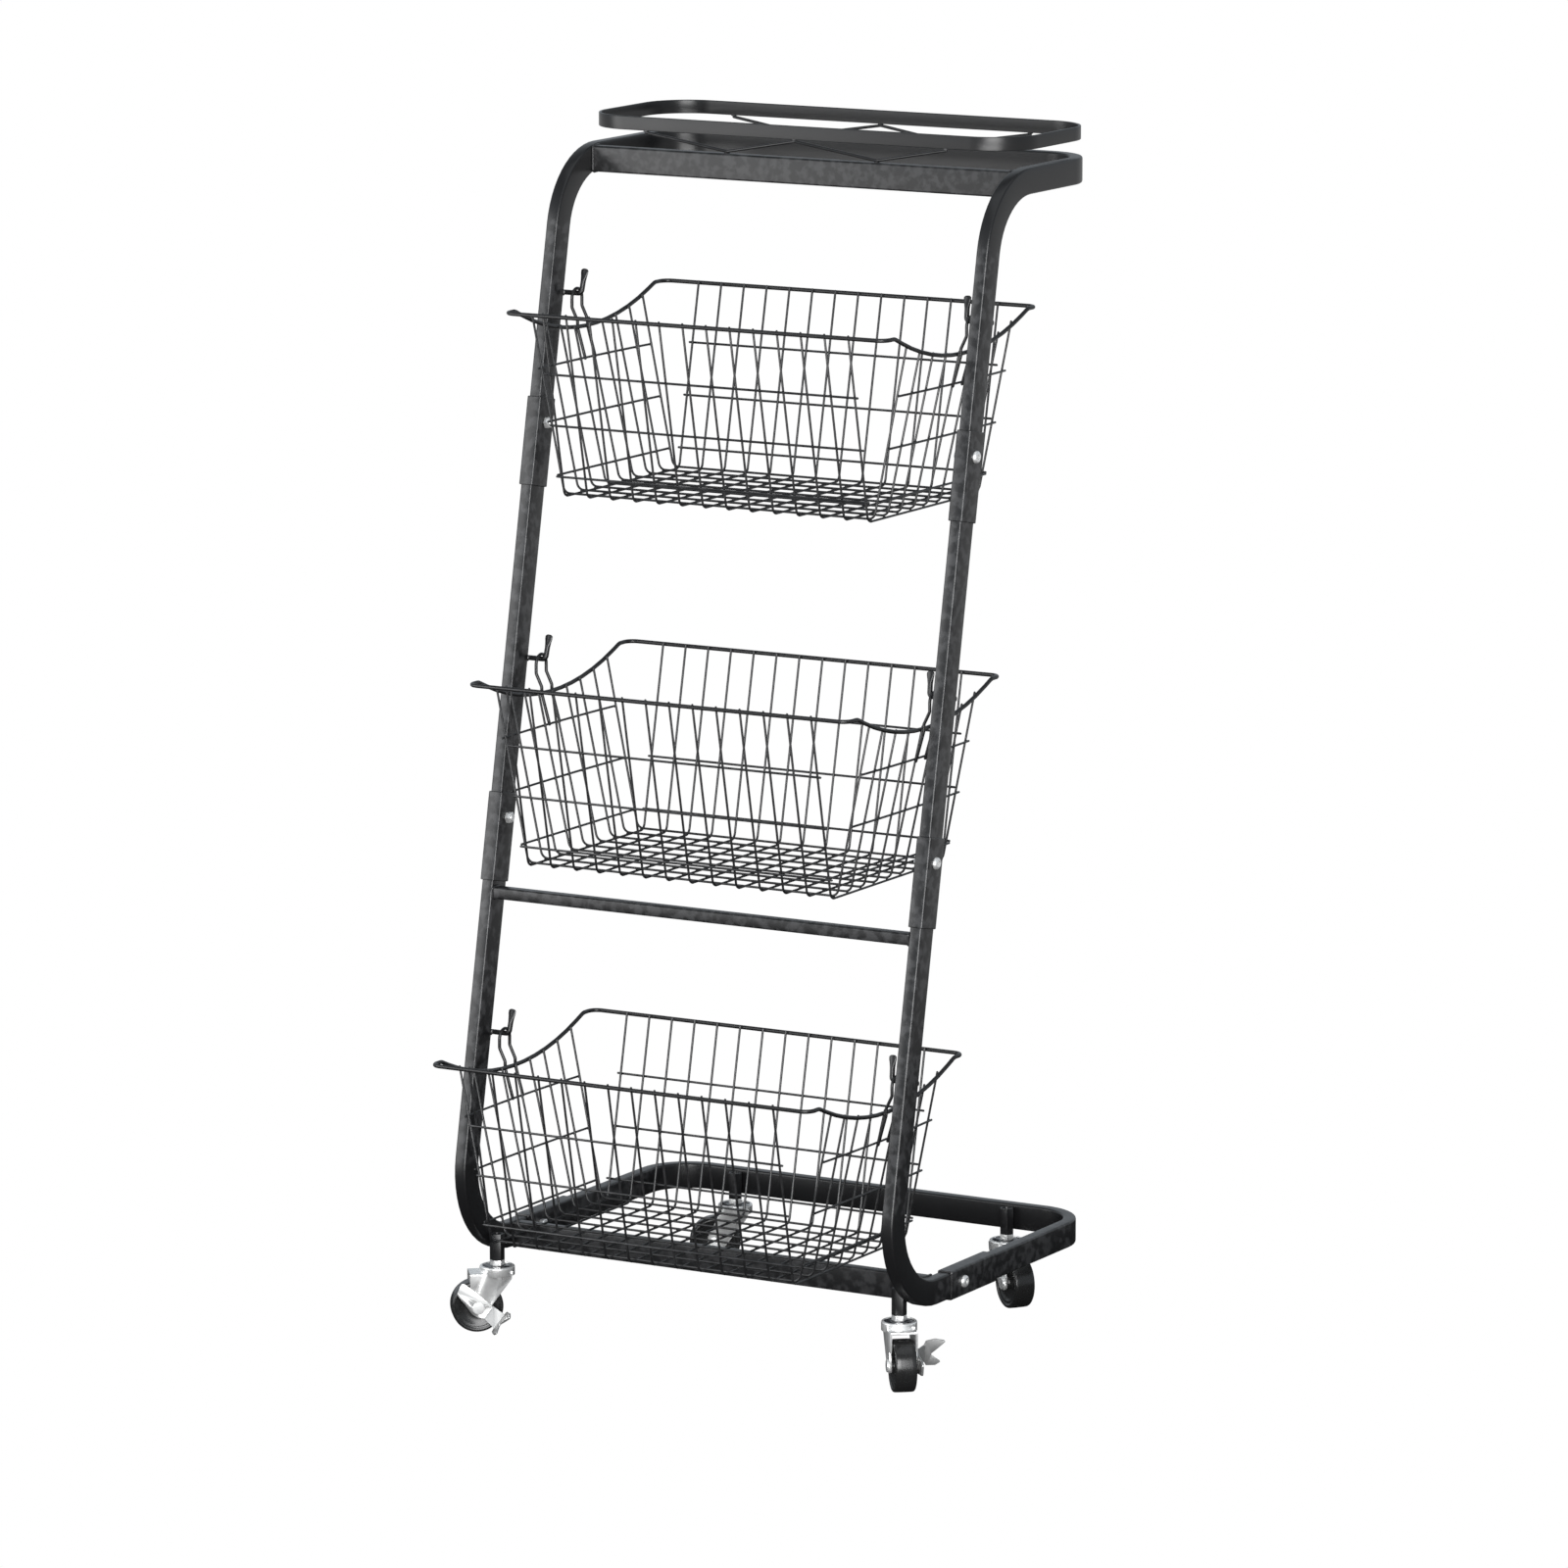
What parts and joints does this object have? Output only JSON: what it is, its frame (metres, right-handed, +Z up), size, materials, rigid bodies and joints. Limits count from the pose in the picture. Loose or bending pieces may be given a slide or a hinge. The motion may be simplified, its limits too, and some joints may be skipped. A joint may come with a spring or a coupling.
{
  "type": "rolling utility cart",
  "caption": "Slanted tube-frame cart with stacked lift-off wire baskets, a guard ring round the open top, and swivelling castors, the front ones braked.",
  "frame": {"origin": "on the floor midway between the two sides, below the middle of the base", "axes": "+X to the right seen from the front, +Y to the back, +Z up"},
  "size_m": [0.4186, 0.3988, 0.92],
  "materials": {
    "frame_black": "satin powder coat",
    "wire_black": "satin powder coat",
    "bright_zinc": "bright plated",
    "satin_zinc": "satin plated",
    "dark_steel": "gloss",
    "wheel_black": "gloss"
  },
  "bodies": {
    "frame": {"base_crossbar": "frame_black", "base_frame": "frame_black", "base_sleeve_left": "frame_black", "base_sleeve_right": "frame_black", "basket_pegs_bottom": "wire_black", "basket_pegs_middle": "wire_black", "basket_pegs_top": "wire_black", "caster_races": "dark_steel", "caster_sockets": "frame_black", "caster_stems": "bright_zinc", "frame_bolts": "bright_zinc", "frame_nuts": "bright_zinc", "guard_rail": "frame_black", "guard_zigzag_front": "wire_black", "guard_zigzag_rear": "wire_black", "lower_frame_left": "frame_black", "lower_frame_right": "frame_black", "lower_sleeve_left": "frame_black", "lower_sleeve_right": "frame_black", "mid_tube_left": "frame_black", "mid_tube_right": "frame_black", "middle_crossbar": "frame_black", "top_crossbar": "frame_black", "upper_frame": "frame_black", "upper_sleeve_left": "frame_black", "upper_sleeve_right": "frame_black"},
    "top_basket": {"top_basket_cross_wires": "wire_black", "top_basket_hangers": "wire_black", "top_basket_long_wires": "wire_black", "top_basket_panel_wires": "wire_black", "top_basket_rim": "wire_black"},
    "middle_basket": {"middle_basket_cross_wires": "wire_black", "middle_basket_hangers": "wire_black", "middle_basket_long_wires": "wire_black", "middle_basket_panel_wires": "wire_black", "middle_basket_rim": "wire_black"},
    "bottom_basket": {"bottom_basket_cross_wires": "wire_black", "bottom_basket_hangers": "wire_black", "bottom_basket_long_wires": "wire_black", "bottom_basket_panel_wires": "wire_black", "bottom_basket_rim": "wire_black"},
    "front_left_swivel": {"front_left_fork": "bright_zinc", "front_left_axle": "bright_zinc"},
    "front_left_wheel": {"front_left_wheel": "wheel_black"},
    "front_left_brake": {"front_left_brake_lever": "satin_zinc"},
    "front_right_swivel": {"front_right_fork": "bright_zinc", "front_right_axle": "bright_zinc"},
    "front_right_wheel": {"front_right_wheel": "wheel_black"},
    "front_right_brake": {"front_right_brake_lever": "satin_zinc"},
    "rear_left_swivel": {"rear_left_fork": "bright_zinc", "rear_left_axle": "bright_zinc"},
    "rear_left_wheel": {"rear_left_wheel": "wheel_black"},
    "rear_right_swivel": {"rear_right_fork": "bright_zinc", "rear_right_axle": "bright_zinc"},
    "rear_right_wheel": {"rear_right_wheel": "wheel_black"}
  },
  "joints": [
    {"name": "top_basket_lift", "type": "slide", "parent": "frame", "child": "top_basket", "axis": [0, 0, 1], "range_m": [0, 0.025]},
    {"name": "middle_basket_lift", "type": "slide", "parent": "frame", "child": "middle_basket", "axis": [0, 0, 1], "range_m": [0, 0.025]},
    {"name": "bottom_basket_lift", "type": "slide", "parent": "frame", "child": "bottom_basket", "axis": [0, 0, 1], "range_m": [0, 0.025]},
    {"name": "front_left_swivel", "type": "hinge", "parent": "frame", "child": "front_left_swivel", "pos_m": [-0.176, -0.134, 0.0506], "axis": [0, 0, 1], "continuous": true},
    {"name": "front_left_spin", "type": "hinge", "parent": "front_left_swivel", "child": "front_left_wheel", "pos_m": [-0.18861, -0.14385, 0.02], "axis": [0.6157, -0.788, 0], "continuous": true},
    {"name": "front_left_brake", "type": "hinge", "parent": "front_left_swivel", "child": "front_left_brake", "pos_m": [-0.18861, -0.14385, 0.02], "axis": [0.6157, -0.788, 0], "range_deg": [0, 45]},
    {"name": "front_right_swivel", "type": "hinge", "parent": "frame", "child": "front_right_swivel", "pos_m": [0.176, -0.134, 0.0506], "axis": [0, 0, 1], "continuous": true},
    {"name": "front_right_spin", "type": "hinge", "parent": "front_right_swivel", "child": "front_right_wheel", "pos_m": [0.18598, -0.1465, 0.02], "axis": [0.7815, 0.6239, 0], "continuous": true},
    {"name": "front_right_brake", "type": "hinge", "parent": "front_right_swivel", "child": "front_right_brake", "pos_m": [0.18598, -0.1465, 0.02], "axis": [0.7815, 0.6239, 0], "range_deg": [-45, 0]},
    {"name": "rear_left_swivel", "type": "hinge", "parent": "frame", "child": "rear_left_swivel", "pos_m": [-0.1217, 0.135, 0.0506], "axis": [0, 0, 1], "continuous": true},
    {"name": "rear_left_spin", "type": "hinge", "parent": "rear_left_swivel", "child": "rear_left_wheel", "pos_m": [-0.13556, 0.127, 0.02], "axis": [0.5, -0.866, 0], "continuous": true},
    {"name": "rear_right_swivel", "type": "hinge", "parent": "frame", "child": "rear_right_swivel", "pos_m": [0.1217, 0.135, 0.0506], "axis": [0, 0, 1], "continuous": true},
    {"name": "rear_right_spin", "type": "hinge", "parent": "rear_right_swivel", "child": "rear_right_wheel", "pos_m": [0.13448, 0.12537, 0.02], "axis": [0.6018, 0.7986, 0], "continuous": true}
  ]
}
